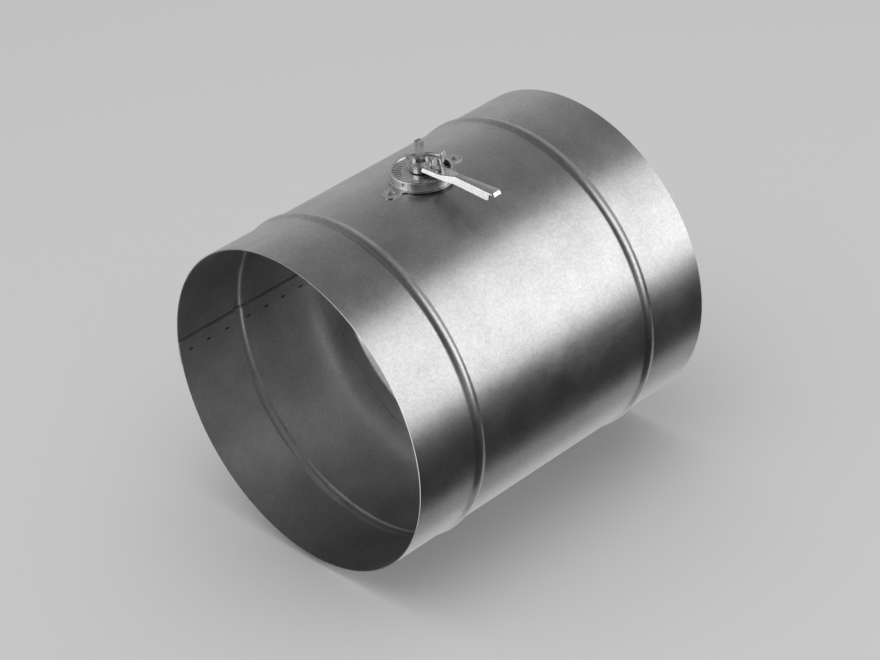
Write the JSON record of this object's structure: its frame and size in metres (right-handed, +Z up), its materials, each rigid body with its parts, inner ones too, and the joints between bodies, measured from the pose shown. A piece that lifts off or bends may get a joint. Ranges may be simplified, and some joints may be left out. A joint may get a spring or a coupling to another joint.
{
  "type": "round volume control damper",
  "caption": "Round sheet-metal duct damper: beaded tubular casing, swinging disc blade on a vertical shaft, and a dial-shaped hand quadrant on top with a lever locked by a wing nut.",
  "frame": {"origin": "centre of the inlet (front) spigot's open end, on the duct axis", "axes": "+X along the duct from the inlet to the outlet, +Z up along the blade shaft towards the hand quadrant, and -Y the way the lever points while the blade is closed"},
  "size_m": [0.359, 0.3183, 0.357],
  "materials": {
    "galvanised_casing": "hot-dip galvanised sheet, fine grain, half dull",
    "galvanised_blade": "hot-dip galvanised sheet, fine grain, dull",
    "zinc_plated_pressing": "electro zinc-plated pressed steel, half bright",
    "zinc_plated_screw": "electro zinc-plated turned steel, bright",
    "drawn_steel": "cold-drawn zinc-plated square bar",
    "aluminium_rivet": "plain aluminium, satin",
    "grey_nylon": "moulded nylon, matt"
  },
  "bodies": {
    "casing_and_quadrant": {"casing": "galvanised_casing", "quadrant_dish": "zinc_plated_pressing", "quadrant_rivets": "aluminium_rivet", "upper_bearing": "zinc_plated_pressing", "lower_bearing": "zinc_plated_pressing"},
    "blade_and_lever": {"upper_shaft_bush": "grey_nylon", "lower_shaft_bush": "grey_nylon", "shaft_clip": "zinc_plated_pressing", "blade_shaft": "drawn_steel", "blade": "galvanised_blade", "upper_saddle": "zinc_plated_pressing", "middle_saddle": "zinc_plated_pressing", "lower_saddle": "zinc_plated_pressing", "upper_saddle_rivets": "aluminium_rivet", "middle_saddle_rivets": "aluminium_rivet", "lower_saddle_rivets": "aluminium_rivet", "lever": "zinc_plated_pressing", "lever_hub": "zinc_plated_screw", "lever_set_screw": "zinc_plated_screw", "locking_screw": "zinc_plated_screw"},
    "washer": {"locking_washer": "zinc_plated_screw"},
    "nut": {"wing_nut": "zinc_plated_screw"}
  },
  "joints": [
    {"name": "blade_turn", "type": "hinge", "parent": "casing_and_quadrant", "child": "blade_and_lever", "pos_m": [0.1759, 0, 0], "axis": [0, 0, 1], "range_deg": [0, 90]},
    {"name": "washer_lift", "type": "slide", "parent": "blade_and_lever", "child": "washer", "axis": [0, 0, 1], "range_m": [0, 0.0016]},
    {"name": "wing_nut_turn", "type": "hinge", "parent": "washer", "child": "nut", "pos_m": [0.1759, -0.023, 0.172], "axis": [0, 0, 1], "range_deg": [0, 720]}
  ],
  "couplings": [
    {"joint": "wing_nut_turn", "follows": "washer_lift", "rad_per_m": 7853.9}
  ]
}
